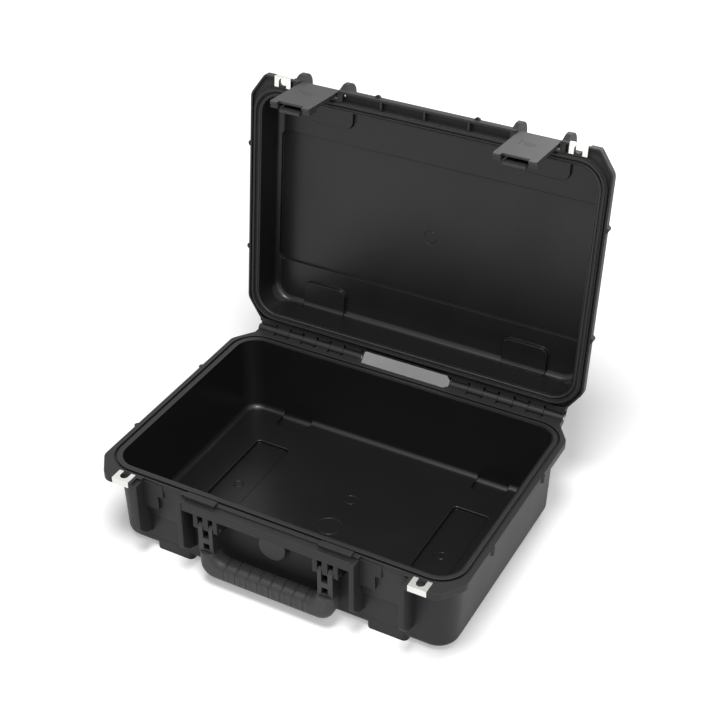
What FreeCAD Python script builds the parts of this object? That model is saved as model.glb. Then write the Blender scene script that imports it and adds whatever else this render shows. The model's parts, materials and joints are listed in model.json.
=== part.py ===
import FreeCAD, Part
import math
import os

Vec = FreeCAD.Vector
X_AXIS = Vec(1, 0, 0)
Y_AXIS = Vec(0, 1, 0)
Z_AXIS = Vec(0, 0, 1)
ORIGIN = Vec(0, 0, 0)

# Millimetres. +X is the case's right, +Y its back and +Z up; the origin is on the ground under its middle.
# Lid pieces are drawn shut and then swung open about the hinge line.

# Shells
opening_width = 440.0
opening_depth = 298.0
opening_corner = 26.0
base_inside_depth = 106.0
lid_inside_depth = 46.0
wall = 4.0
wall_draft = 3.5
inner_edge_radius = 8.0
outer_edge_radius = 10.0
foot_height = 4.0
cut_overrun = 2.0
same_length = 0.04
same_direction = 1e-6
lid_open_angle = 95.8

# Rim
flange_side_reach = 16.0
flange_back_reach = 16.5
base_ear_reach = 27.0
lid_front_reach = 24.3
lip_thickness = 2.4
lip_recess_depth = 4.0
lip_recess_wall = 1.4
flange_corner_width = 21.0
flange_corner_depth = 30.0
flange_corner_radius = 14.0
flange_thickness = 9.0
tongue_width = 6.5
groove_width = 3.5
groove_depth = 3.0
rim_gap = 1.2
skirt_clearance = 0.6
skirt_reach = 1.8
seal_inset = 1.4
seal_width = 3.6
seal_seat = 2.5
seal_proud = 0.8
seal_side_clearance = 0.1
nub_radius = 4.0
nub_proud = 2.8
nub_back_share = 0.208
nub_front_share = 0.2685
lid_nub_share = 0.1468

# Hinge
hinge_offset = 10.1
hinge_start_share = 0.1432
hinge_end_share = 0.4925
end_knuckle_length = 26.0
knuckle_count = 7
knuckle_radius = 5.2
knuckle_gap = 0.6
knuckle_room = 0.8
hinge_notch_width = 3.0
hinge_notch_length = 3.5
hinge_notch_depth = 5.0
hinge_gusset_width = 5.0
hinge_gusset_length = 6.5
hinge_pin_radius = 2.0
pin_clearance = 0.05

# Fins beside the latches
fin_place_share = 0.247
fin_thickness = 6.4
bay_width_share = 0.12455
fin_reach = 27.0
fin_top_drop = 3.0
fin_front_drop = 70.0
fin_knee_drop = 80.0
fin_knee_reach = 17.0
fin_foot_drop = 87.0
fin_edge_radius = 6.0
fin_front_radius = 1.0
lid_fin_reach = 28.5
lid_fin_root_reach = 22.0
lid_fin_slope_height = 14.0
lid_fin_height = 37.3
lid_fin_radius = 17.0
lid_fin_knee_radius = 6.0

# Latch bays and keepers on the base
bay_front_reach = 11.0
ramp_drop = 60.0
ramp_foot_reach = 3.0
keeper_proud = 1.0
keeper_top_drop = 4.0
keeper_step_drop = 21.0
keeper_drop = 41.0
keeper_upper_end = 1.3
keeper_lower_end = 9.0

# Handle bar, ridge blocks and prongs on the base
bar_reach = 26.0
bar_top_drop = 2.0
bar_height = 12.5
bar_edge_radius = 1.5
bar_flange_reach = 15.5
ridge_end_gap = 1.1
ridge_length = 40.0
ridge_front_reach = 19.5
ridge_back_reach = 11.5
ridge_height = 3.5
prong_start_share = 0.1416
prong_thickness = 5.7
middle_prong_thickness = 6.9
handle_side_clearance = 0.6
handle_pivot_reach = 18.5
handle_pivot_drop = 31.0
prong_radius = 6.2

# Handle
handle_pin_radius = 2.5
arm_radius = 7.0
inner_rail_thickness = 5.0
outer_rail_thickness = 6.2
rung_drop_share = 0.45
rung_height_share = 0.25
ladder_end_gap = 4.0
handle_drop_share = 0.6604
handle_corner = 20.0
handle_inner_corner = 14.0
grip_height = 26.0
grip_rise = 10.0
grip_depth = 23.0
grip_radius = 8.5
grip_cover = 5.5
grip_core_depth = 11.0
grip_wave_radius = 14.0
grip_wave_depth = 0.5
grip_wave_count = 7
grip_wave_pitch = 15.0

# Pressure valve in the front wall
valve_drop = 39.0
valve_boss_radius = 19.5
valve_boss_proud = 0.8
valve_cap_radius = 18.0
valve_cap_thickness = 3.2
valve_cap_edge = 1.1
valve_seal_thickness = 1.2
valve_seal_width = 4.0
valve_shank_radius = 11.0
valve_shank_clearance = 0.1
valve_nut_radius = 16.0
valve_nut_thickness = 5.0
valve_bore_radius = 4.0
valve_membrane_radius = 7.0
valve_membrane_thickness = 0.6
valve_pocket_depth = 2.4

# Padlock plates
padlock_gap = 4.0
padlock_reach = 18.5
padlock_hole_radius = 5.0
plate_notch_radius = 5.2
plate_width = 22.4
plate_thickness = 1.0
plate_back_reach = 12.0
base_fold_height = 8.0
lid_ear_thickness = 4.6
lid_ear_margin = 1.5

# Latch
latch_clearance = 1.2
latch_pivot_reach = 17.5
latch_pivot_height = 7.8
latch_pin_radius = 2.0
latch_barrel_radius = 4.5
latch_length = 76.0
latch_plate = 3.5
latch_pocket = 0.7
latch_side_thickness = 2.6
latch_side_depth = 5.0
latch_side_top = 12.0
latch_end_gap = 0.8
latch_end_share = 0.1734
latch_end_depth = 8.5
latch_notch_depth = 6.0
latch_corner = 2.5
latch_tilt = 4.5
latch_rest_turn = 3.2
latch_mark_radius = 8.0
latch_mark_drop = 31.0
latch_mark_lean = 4.0
latch_groove_place = 12.0
latch_groove_width = 1.0
latch_groove_depth = 0.5
latch_groove_start = 25.0
latch_groove_end = 39.0

# Trigger, measured on the shut latch from its pivot line
trigger_pin_radius = 1.2
trigger_pin_drop = 29.0
trigger_pin_inset = 1.6
trigger_barrel_radius = 2.1
trigger_rib_thickness = 3.0
trigger_span_share = 0.42
trigger_barrel_length = 4.0
trigger_barrel_clearance = 0.4
trigger_web = 2.4
trigger_lean = 2.9
trigger_lip_lean = 7.0
trigger_hook_clearance = 0.3
trigger_hook_share = 0.4015
trigger_hook_height = 4.4
trigger_lip_share = 0.2464
trigger_lip_height = 9.0
trigger_lip_depth = 3.0
trigger_end_gap = 1.0
spring_wire_radius = 0.3
spring_wire_sides = 6
spring_coil_radius = 2.2
spring_turns = 4
spring_steps = 12
spring_leg = 7.0

# Floor, feet and inner pads
channel_width = 47.0
channel_front_share = 0.1443
channel_back_share = 0.2685
channel_radius = 5.0
channel_edge_radius = 1.4
foot_width = 51.0
foot_length = 36.0
foot_radius = 6.0
foot_root = 12.0
foot_hollow_radius = 9.0
lid_band_share = 0.302
lid_band_step = 3.5
lid_pad_width = 59.0
lid_pad_start_share = 0.3758
lid_pad_depth = 5.0
lid_pad_slope = 1.5
lid_pad_radius = 10.0

# Shallow rings left by the mould
ring_groove_width = 1.0
ring_groove_depth = 0.4
front_ring_radius = 15.0
front_ring_share = -0.0906
rear_ring_radius = 8.0
rear_ring_share = 0.0973
channel_ring_radius = 6.0
channel_ring_share = -0.0218
lid_ring_radius = 8.5
lid_ring_share = 0.0235

# Pockets in the lid's front flange
pocket_back_reach = 10.3
pocket_front_wall = 3.0
pocket_depth = 6.0
pocket_rib = 2.5
pocket_rib_share = 0.524

# Levels and lines that follow from the sizes above
half_x = opening_width / 2
half_y = opening_depth / 2
floor_z = foot_height + wall
rim_z = floor_z + base_inside_depth
lid_rim_z = rim_z + rim_gap
lid_ceiling_z = lid_rim_z + lid_inside_depth
lid_top_z = lid_ceiling_z + wall
flange_back_y = half_y + flange_back_reach
hinge_y = flange_back_y + hinge_offset
hinge_z = rim_z + rim_gap / 2
hinge_group_start = opening_width * hinge_start_share
hinge_group_end = opening_width * hinge_end_share
fin_inner_place = opening_width * fin_place_share
bay_width = opening_width * bay_width_share
fin_front_y = -half_y - fin_reach
base_ear_y = -half_y - base_ear_reach
lid_front_y = -half_y - lid_front_reach
bay_front_y = -half_y - bay_front_reach
bay_start = fin_inner_place + fin_thickness
bay_end = bay_start + bay_width
bay_middle = (bay_start + bay_end) / 2
bar_front_y = -half_y - bar_reach
bar_bottom_z = rim_z - bar_top_drop - bar_height
ridge_start = fin_inner_place - ridge_end_gap - ridge_length
prong_start = opening_width * prong_start_share
handle_y = -half_y - handle_pivot_reach
handle_z = rim_z - handle_pivot_drop
handle_low_z = handle_z - base_inside_depth * handle_drop_share
grip_top_z = handle_low_z + grip_height + grip_rise
ladder_drop = handle_z - grip_top_z - ladder_end_gap
rung_drop = ladder_drop * rung_drop_share
rung_height = ladder_drop * rung_height_share
latch_y = -half_y - latch_pivot_reach
latch_z = lid_rim_z + latch_pivot_height
latch_end_width = bay_width * latch_end_share
trigger_span = bay_width * trigger_span_share
trigger_hook_left = bay_width * trigger_hook_share
trigger_lip_half_width = bay_width * trigger_lip_share
padlock_y = -half_y - padlock_reach
padlock_place = bay_end + fin_thickness + padlock_gap + plate_width / 2
valve_z = rim_z - valve_drop
valve_seat_y = -half_y - wall - valve_boss_proud
valve_inner_y = (valve_boss_proud - half_y
                 + wall_draft * (valve_drop + valve_boss_radius) / base_inside_depth)
channel_front = opening_depth * channel_front_share
channel_back = opening_depth * channel_back_share
lid_band_half_depth = opening_depth * lid_band_share
lid_shelf_depth = lid_inside_depth - lid_band_step
lid_pad_start = opening_depth * lid_pad_start_share
pocket_rib_place = fin_inner_place * pocket_rib_share
SIDES = (("left", -1), ("right", 1))


def box(x0, x1, y0, y1, z0, z1):
    """Block between two corners."""
    return Part.makeBox(x1 - x0, y1 - y0, z1 - z0, Vec(x0, y0, z0))


def rod(x0, x1, y, z, radius):
    """Cylinder along X."""
    return Part.makeCylinder(radius, x1 - x0, Vec(x0, y, z), X_AXIS)


def soft_wire(corners, radius, z):
    """Closed outline in plan through (x, y) corners, each of them rounded, at one height."""
    points = [Vec(x, y, z) for x, y in corners]
    arcs = []
    for index, here in enumerate(points):
        back = (points[index - 1] - here).normalize()
        ahead = (points[(index + 1) % len(points)] - here).normalize()
        half_angle = back.getAngle(ahead) / 2
        tangent = radius / math.tan(half_angle)
        middle = (back + ahead).normalize() * (radius / math.sin(half_angle) - radius)
        arcs.append((here + back * tangent, here + middle, here + ahead * tangent))
    edges = []
    for index, (start, middle, end) in enumerate(arcs):
        edges.append(Part.LineSegment(arcs[index - 1][2], start).toShape())
        edges.append(Part.Arc(start, middle, end).toShape())
    return Part.Wire(edges)


def rounded_wire(x0, x1, y0, y1, radius, z):
    """Closed rounded rectangle in plan at one height."""
    return soft_wire(((x0, y0), (x1, y0), (x1, y1), (x0, y1)), radius, z)


def slab(x0, x1, y0, y1, radius, z0, z1):
    """Upright prism on a rounded rectangle."""
    return Part.Face(rounded_wire(x0, x1, y0, y1, radius, z0)).extrude(Vec(0, 0, z1 - z0))


def ring(inset, outset, z0, z1):
    """Frame that follows the opening, between two offsets from its edge."""
    outer = slab(-half_x - outset, half_x + outset, -half_y - outset, half_y + outset,
                 opening_corner + outset, z0, z1)
    inner = slab(-half_x - inset, half_x + inset, -half_y - inset, half_y + inset,
                 opening_corner + inset, z0 - cut_overrun, z1 + cut_overrun)
    return outer.cut(inner)


def side_prism(points, x0, x1):
    """Prism along X on an outline of (y, z) points."""
    corners = [Vec(x0, y, z) for y, z in points]
    return Part.Face(Part.makePolygon(corners + corners[:1])).extrude(Vec(x1 - x0, 0, 0))


def plan_prism(corners, z0, z1):
    """Upright prism on a polygon of (x, y) corners."""
    points = [Vec(x, y, z0) for x, y in corners]
    return Part.Face(Part.makePolygon(points + points[:1])).extrude(Vec(0, 0, z1 - z0))


def fillet(shape, radius, chosen):
    """Round the edges whose middle point the test accepts."""
    edges = [edge for edge in shape.Edges if chosen(edge, edge.CenterOfMass)]
    return shape.makeFillet(radius, edges)


def along(edge, axis):
    """True for a straight edge parallel to an axis."""
    if edge.Curve.TypeId != "Part::GeomLine":
        return False
    return 1 - abs(edge.tangentAt(edge.FirstParameter) * axis) < same_direction


def near(value, target):
    """True for two lengths that are the same."""
    return abs(value - target) < same_length


def swing_open(shape):
    """Turn a piece of the lid from shut to its rest."""
    return shape.rotated(Vec(0, hinge_y, hinge_z), X_AXIS, -lid_open_angle)


def draft_at(depth, inside_depth):
    """How far a wall has leaned in at a depth below its rim."""
    return wall_draft * depth / inside_depth


def shell_block(outset, depth, inside_depth, z_rim, up, radius):
    """Tapered block of a shell with the edge at its closed end rounded."""
    sign = 1 if up else -1
    wires = []
    for level in (0, depth):
        lean = draft_at(level, inside_depth)
        reach_x = half_x + outset - lean
        reach_y = half_y + outset - lean
        corner = opening_corner + outset - lean
        wires.append(rounded_wire(-reach_x, reach_x, -reach_y, reach_y, corner, z_rim + sign * level))
    block = Part.makeLoft(wires, True, True)
    return fillet(block, radius, lambda edge, middle: near(middle.z, z_rim + sign * depth))


def flange_outline(inset, z0, z1):
    """Prism on the rim flange's outline, less an inset: a rectangle with sloped, softened corners."""
    x = half_x + flange_side_reach - inset
    front = inset - half_y - base_ear_reach
    back = flange_back_y - inset
    slope = math.hypot(1 / flange_corner_width, 1 / flange_corner_depth)
    scale = 1 + inset * (slope - 1 / flange_corner_width - 1 / flange_corner_depth)
    dx = flange_corner_width * scale
    dy = flange_corner_depth * scale
    corners = ((dx - x, front), (x - dx, front), (x, front + dy), (x, back - dy),
               (x - dx, back), (dx - x, back), (-x, back - dy), (-x, front + dy))
    return Part.Face(soft_wire(corners, flange_corner_radius, z0)).extrude(Vec(0, 0, z1 - z0))


def nub(x, y, z0, z1):
    """Small upright bump on the edge of a flange."""
    return Part.makeCylinder(nub_radius, z1 - z0, Vec(x, y, z0))


def flange_plate(front_y, z0, z1):
    """Rim flange of either shell, with a straight front and two bumps on each side."""
    plate = flange_outline(0, z0, z1)
    plate = plate.cut(box(-opening_width, opening_width, -opening_width, front_y,
                          z0 - cut_overrun, z1 + cut_overrun))
    reach = half_x + flange_side_reach - nub_radius + nub_proud
    return plate.fuse([nub(side * reach, opening_depth * share, z0, z1) for _, side in SIDES
                       for share in (-nub_front_share, nub_back_share)])


def span(side, near_end, far_end):
    """X limits of something between two distances from the middle, on one side."""
    return (near_end, far_end) if side > 0 else (-far_end, -near_end)


def knuckle_spans(side):
    """X limits of the knuckles of one hinge group, from the middle outwards."""
    length = hinge_group_end - hinge_group_start
    inner_length = (length - 2 * end_knuckle_length) / (knuckle_count - 2)
    spans = []
    start = hinge_group_start
    for index in range(knuckle_count):
        length = inner_length if 0 < index < knuckle_count - 1 else end_knuckle_length
        spans.append(span(side, start + knuckle_gap / 2, start + length - knuckle_gap / 2))
        start += length
    return spans


def hinge_half(first, z_rim, sign):
    """One shell's half of both hinge groups: a land out from its flange, every second knuckle, and hollows
    with small notches at their ends for the other shell's knuckles."""
    far = z_rim + sign * flange_thickness
    root = flange_back_y - wall
    outline = ((root, z_rim), (hinge_y, z_rim), (hinge_y, z_rim + sign * knuckle_radius),
               (flange_back_y, far), (root, far))
    room = knuckle_radius + knuckle_room
    notch_low, notch_high = sorted((z_rim - sign * cut_overrun, z_rim + sign * hinge_notch_depth))
    halves = []
    for _, side in SIDES:
        land = side_prism(outline, *span(side, hinge_group_start, hinge_group_end))
        inner = side * hinge_group_start
        gusset = plan_prism(((inner - side * hinge_gusset_width, root), (inner, root),
                             (inner, flange_back_y + hinge_gusset_length),
                             (inner - side * hinge_gusset_width, flange_back_y)), *sorted((z_rim, far)))
        land = land.fuse(gusset)
        cuts = []
        for x0, x1 in knuckle_spans(side)[1 - first::2]:
            cuts.append(rod(x0 - knuckle_gap, x1 + knuckle_gap, hinge_y, hinge_z, room))
            for x in (x0, x1):
                cuts.append(box(x - hinge_notch_width / 2, x + hinge_notch_width / 2,
                                hinge_y - room - hinge_notch_length, hinge_y - knuckle_radius,
                                notch_low, notch_high))
        own = [rod(x0, x1, hinge_y, hinge_z, knuckle_radius) for x0, x1 in knuckle_spans(side)[first::2]]
        halves.append(land.cut(cuts).fuse(own))
    return halves


def hinge_bores():
    """Holes for the two hinge pins."""
    return [rod(*span(side, hinge_group_start - cut_overrun, hinge_group_end + cut_overrun),
                hinge_y, hinge_z, hinge_pin_radius + pin_clearance) for _, side in SIDES]


def fin_spans(side):
    """X limits of the two fins beside one latch."""
    return span(side, fin_inner_place, bay_start), span(side, bay_end, bay_end + fin_thickness)


def base_fin(x0, x1):
    """Front fin of the base: upright front edge and a foot that slopes back to the wall."""
    outline = ((-half_y, rim_z - fin_top_drop), (fin_front_y, rim_z - fin_top_drop),
               (fin_front_y, rim_z - fin_front_drop), (-half_y - fin_knee_reach, rim_z - fin_knee_drop),
               (-half_y, rim_z - fin_foot_drop))
    fin = side_prism(outline, x0, x1)
    fin = fillet(fin, fin_edge_radius, lambda edge, middle: along(edge, X_AXIS)
                 and middle.y < -half_y - wall and middle.z < rim_z - fin_front_drop + wall)
    return fillet(fin, fin_front_radius, lambda edge, middle: along(edge, Z_AXIS)
                  and near(middle.y, fin_front_y))


def keeper(side):
    """Stepped plate that the trigger hooks under, at the left of its bay, on the bay's sloped back."""
    left, right = span(side, bay_start, bay_end)
    middle = side * bay_middle
    outline = ((-half_y, rim_z), (bay_front_y, rim_z), (bay_front_y, rim_z - flange_thickness),
               (-half_y - ramp_foot_reach, rim_z - ramp_drop), (-half_y, rim_z - ramp_drop))
    front = bay_front_y - keeper_proud
    step_z = rim_z - keeper_step_drop
    upper = box(left, middle - keeper_upper_end, front, -half_y, step_z, rim_z - keeper_top_drop)
    lower = box(left, middle - keeper_lower_end, front, -half_y, rim_z - keeper_drop, step_z)
    return side_prism(outline, left, right).fuse([upper, lower])


def prong_spans(side):
    """X limits of the three prongs that carry one handle arm."""
    gap = 2 * handle_side_clearance
    first = prong_start
    second = first + prong_thickness + inner_rail_thickness + gap
    third = second + middle_prong_thickness + outer_rail_thickness + gap
    return (span(side, first, first + prong_thickness), span(side, second, second + middle_prong_thickness),
            span(side, third, third + prong_thickness))


def prong(x0, x1):
    """Plate that hangs from the handle bar and ends round the handle pin."""
    front = handle_y - prong_radius
    plate = box(x0, x1, front, -half_y, handle_z, bar_bottom_z + bar_edge_radius)
    foot = side_prism(((handle_y, handle_z), (handle_y, handle_z - prong_radius),
                       (-half_y, handle_z - prong_radius), (-half_y, handle_z)), x0, x1)
    return plate.fuse([foot, rod(x0, x1, handle_y, handle_z, prong_radius)])


def handle_bar():
    """Bar across the front that carries the handle, with its two ridge blocks and six prongs."""
    bar = box(-fin_inner_place, fin_inner_place, bar_front_y, -half_y, bar_bottom_z, rim_z - bar_top_drop)
    bar = fillet(bar, bar_edge_radius, lambda edge, middle: along(edge, X_AXIS)
                 and near(middle.y, bar_front_y))
    pieces = []
    for _, side in SIDES:
        x0, x1 = span(side, ridge_start, ridge_start + ridge_length)
        pieces.append(box(x0, x1, -half_y - ridge_front_reach, -half_y - ridge_back_reach,
                          rim_z - bar_top_drop - bar_edge_radius, rim_z + ridge_height))
        pieces += [prong(*limits) for limits in prong_spans(side)]
    return bar.fuse(pieces)


def plate_limits(side):
    """X limits of a padlock plate."""
    return span(side, padlock_place - plate_width / 2, padlock_place + plate_width / 2)


def padlock_cuts(z0, z1, z_leaf, sign):
    """Padlock holes through the flange ears and the seats of the steel plates."""
    cuts = []
    for _, side in SIDES:
        centre = Vec(side * padlock_place, padlock_y, z0 - cut_overrun)
        cuts.append(Part.makeCylinder(padlock_hole_radius, z1 - z0 + 2 * cut_overrun, centre))
        low, high = sorted((z_leaf - sign * cut_overrun, z_leaf + sign * plate_thickness))
        cuts.append(box(*plate_limits(side), -opening_depth, -half_y - plate_back_reach, low, high))
    return cuts


def padlock_plate(side, ear_y, z_leaf, sign, fold_height):
    """Folded steel plate: a leaf in the flange, notched round the padlock hole, and a fold over its front."""
    back = -half_y - plate_back_reach
    front = ear_y - plate_thickness
    low, high = sorted((z_leaf, z_leaf + sign * plate_thickness))
    leaf = box(*plate_limits(side), front, back, low, high)
    notch = Part.makeCylinder(plate_notch_radius, high - low, Vec(side * padlock_place, padlock_y, low))
    middle = side * padlock_place
    slot = box(middle - plate_notch_radius, middle + plate_notch_radius, padlock_y, back, low, high)
    low, high = sorted((z_leaf, z_leaf + sign * fold_height))
    fold = box(*plate_limits(side), front, ear_y, low, high)
    return leaf.fuse(fold).cut([notch, slot]).removeSplitter()


def valve_boss():
    """Flat pads on both faces of the leaning front wall where the valve is screwed through."""
    return Part.makeCylinder(valve_boss_radius, valve_inner_y - valve_seat_y,
                             Vec(0, valve_seat_y, valve_z), Y_AXIS)


def foot_limits():
    """X and Y limits of the four feet."""
    end = half_y + wall - draft_at(base_inside_depth - foot_root, base_inside_depth)
    limits = []
    for _, side in SIDES:
        x0, x1 = span(side, bay_middle - foot_width / 2, bay_middle + foot_width / 2)
        limits += [(x0, x1, -end, foot_length - end), (x0, x1, end - foot_length, end)]
    return limits


def feet_and_rails():
    """Four feet and, between them, the undersides of the two floor channels."""
    pieces = [slab(*limits, foot_radius, 0, foot_height + foot_root) for limits in foot_limits()]
    for _, side in SIDES:
        x0, x1 = span(side, bay_middle - channel_width / 2 - wall, bay_middle + channel_width / 2 + wall)
        pieces.append(slab(x0, x1, -channel_front - wall, channel_back + wall, channel_radius + wall,
                           0, floor_z))
    return pieces


def foot_hollows():
    """Hollows in the floor down into the feet, with the same cove to the wall as the rest of the floor."""
    deep = shell_block(0, base_inside_depth + foot_height, base_inside_depth, rim_z, False, inner_edge_radius)
    hollows = []
    for x0, x1, y0, y1 in foot_limits():
        past_wall = foot_hollow_radius + 2 * wall
        y0, y1 = (y0 - past_wall, y1 - wall) if y0 < 0 else (y0 + wall, y1 + past_wall)
        column = slab(x0 + wall, x1 - wall, y0, y1, foot_hollow_radius, 0, floor_z + inner_edge_radius)
        hollows.append(deep.common(column))
    return hollows


def base_hollow():
    """Space inside the base: tapered, with two channels and the hollow feet sunk in its floor."""
    hollow = shell_block(0, base_inside_depth, base_inside_depth, rim_z, False, inner_edge_radius)
    channels = []
    for _, side in SIDES:
        x0, x1 = span(side, bay_middle - channel_width / 2, bay_middle + channel_width / 2)
        channels.append(slab(x0, x1, -channel_front, channel_back, channel_radius,
                             foot_height, floor_z + cut_overrun))
    reach_x = bay_middle + channel_width / 2 + wall
    reach_y = channel_back + wall
    hollow = fillet(hollow.fuse(channels), channel_edge_radius, lambda edge, middle: near(middle.z, floor_z)
                    and abs(middle.x) < reach_x and abs(middle.y) < reach_y)
    return hollow.fuse(foot_hollows())


def mould_ring(x, y, z, radius):
    """Tool for a shallow round groove in a face that looks up or down."""
    low = Vec(x, y, z - ring_groove_depth)
    outer = Part.makeCylinder(radius + ring_groove_width / 2, 2 * ring_groove_depth, low)
    return outer.cut(Part.makeCylinder(radius - ring_groove_width / 2, 2 * ring_groove_depth, low))


def floor_rings():
    """Tools for the rings in the floor's middle and in its channels."""
    rings = [mould_ring(0, opening_depth * front_ring_share, floor_z, front_ring_radius),
             mould_ring(0, opening_depth * rear_ring_share, floor_z, rear_ring_radius)]
    place = opening_depth * channel_ring_share
    rings += [mould_ring(side * bay_middle, place, foot_height, channel_ring_radius) for _, side in SIDES]
    return rings


def base_shell():
    """Lower shell with everything that is moulded on it."""
    body = shell_block(wall, base_inside_depth + wall, base_inside_depth, rim_z, False, outer_edge_radius)
    flange = flange_plate(base_ear_y, rim_z - flange_thickness, rim_z)
    below = rim_z - flange_thickness - cut_overrun
    above = rim_z + cut_overrun
    bar_edge = -half_y - bar_flange_reach
    cuts = [box(*span(side, bay_start, bay_end), -opening_depth, bay_front_y, below, above)
            for _, side in SIDES]
    cuts.append(box(-fin_inner_place, fin_inner_place, -opening_depth, bar_edge, below, above))
    cuts += [box(*limits, -opening_depth, bar_edge, rim_z - fin_top_drop, above)
             for _, side in SIDES for limits in fin_spans(side)]
    flange = flange.cut(cuts)
    moulded = [base_fin(*limits) for _, side in SIDES for limits in fin_spans(side)]
    moulded += [keeper(side) for _, side in SIDES]
    moulded += hinge_half(0, rim_z, -1)
    moulded += feet_and_rails()
    moulded.append(handle_bar())
    body = body.fuse([flange] + moulded)
    mouth = slab(-half_x, half_x, -half_y, half_y, opening_corner, rim_z, above)
    body = body.cut([base_hollow(), mouth])
    bar_bores = [rod(*span(side, prong_start - cut_overrun, fin_inner_place - cut_overrun),
                     handle_y, handle_z, handle_pin_radius + pin_clearance) for _, side in SIDES]
    shank = Part.makeCylinder(valve_shank_radius + valve_shank_clearance, valve_inner_y - valve_seat_y
                              + 2 * cut_overrun, Vec(0, valve_seat_y - cut_overrun, valve_z), Y_AXIS)
    body = body.fuse(valve_boss())
    groove = ring(tongue_width, tongue_width + groove_width, rim_z - groove_depth, above)
    body = body.cut(floor_rings() + hinge_bores() + bar_bores + [groove, shank])
    body = body.cut(padlock_cuts(rim_z - flange_thickness, rim_z, rim_z, -1))
    return body.removeSplitter()


def lid_fin(x0, x1):
    """Lid fin that carries one end of a latch pin: sloped out from the rim, with a broad round shoulder."""
    top = lid_rim_z + lid_fin_height
    front = -half_y - lid_fin_reach
    knee_z = lid_rim_z + lid_fin_slope_height
    outline = ((-half_y, lid_rim_z), (-half_y - lid_fin_root_reach, lid_rim_z), (front, knee_z),
               (front, top), (-half_y, top))
    fin = side_prism(outline, x0, x1)
    fin = fillet(fin, lid_fin_radius, lambda edge, middle: along(edge, X_AXIS)
                 and near(middle.y, front) and near(middle.z, top))
    return fillet(fin, lid_fin_knee_radius, lambda edge, middle: along(edge, X_AXIS)
                  and near(middle.y, front) and near(middle.z, knee_z))


def lid_pad_limits():
    """X and Y limits of the four pads over the latch lines, front and back, each out past the wall."""
    limits = []
    for _, side in SIDES:
        x0, x1 = span(side, bay_middle - lid_pad_width / 2, bay_middle + lid_pad_width / 2)
        limits.append((x0, x1, -half_y - wall, -lid_pad_start))
        limits.append((x0, x1, lid_pad_start, half_y + wall))
    return limits


def lid_hollow():
    """Space inside the lid, with the pads left standing: each has sloped sides and a cove to the wall."""
    full = shell_block(0, lid_shelf_depth, base_inside_depth, lid_rim_z, True, inner_edge_radius)
    shallow = shell_block(0, lid_shelf_depth - lid_pad_depth, base_inside_depth, lid_rim_z, True,
                          inner_edge_radius)
    low = lid_rim_z + lid_shelf_depth - lid_pad_depth - cut_overrun
    high = lid_rim_z + lid_shelf_depth + cut_overrun
    columns = []
    for x0, x1, y0, y1 in lid_pad_limits():
        wires = [rounded_wire(x0 - grow, x1 + grow, y0 - grow, y1 + grow, lid_pad_radius + grow, level)
                 for level, grow in ((low, 0), (high, lid_pad_slope))]
        columns.append(Part.makeLoft(wires, True, True))
    return full.cut(columns).fuse(shallow)


def front_pockets():
    """Hollows in the lid's front flange, open to the base, between ribs."""
    cuts = []
    for _, side in SIDES:
        for near_end, far_end in ((pocket_rib / 2, pocket_rib_place - pocket_rib / 2),
                                  (pocket_rib_place + pocket_rib / 2, fin_inner_place)):
            cuts.append(box(*span(side, near_end, far_end), lid_front_y + pocket_front_wall,
                            -half_y - pocket_back_reach, lid_rim_z - cut_overrun, lid_rim_z + pocket_depth))
    return cuts


def lid_ear_cuts():
    """Hollows over the lid's padlock ears, which leave them thin."""
    cuts = []
    for _, side in SIDES:
        x0, x1 = plate_limits(side)
        cuts.append(box(x0 - lid_ear_margin, x1 + lid_ear_margin, -opening_depth, -half_y - plate_back_reach,
                        lid_rim_z + lid_ear_thickness, lid_rim_z + flange_thickness + cut_overrun))
    return cuts


def lip_recess():
    """Hollow in the lid's flange between its thin outer lip and the rim, left solid at the padlock plates."""
    low = lid_rim_z - cut_overrun
    high = lid_rim_z + lip_recess_depth
    offset = tongue_width + groove_width + lip_recess_wall
    keep = [slab(-half_x - offset, half_x + offset, -half_y - offset, half_y + offset,
                 opening_corner + offset, low, high)]
    inner = bay_end + fin_thickness
    keep.append(box(-inner, inner, -opening_depth, 0, low, high))
    keep.append(box(-opening_width, opening_width, -opening_depth, lid_front_y + lip_thickness, low, high))
    keep += [box(*plate_limits(side), -opening_depth, -half_y, low, high) for _, side in SIDES]
    return flange_outline(lip_thickness, low, high).cut(keep)


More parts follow.
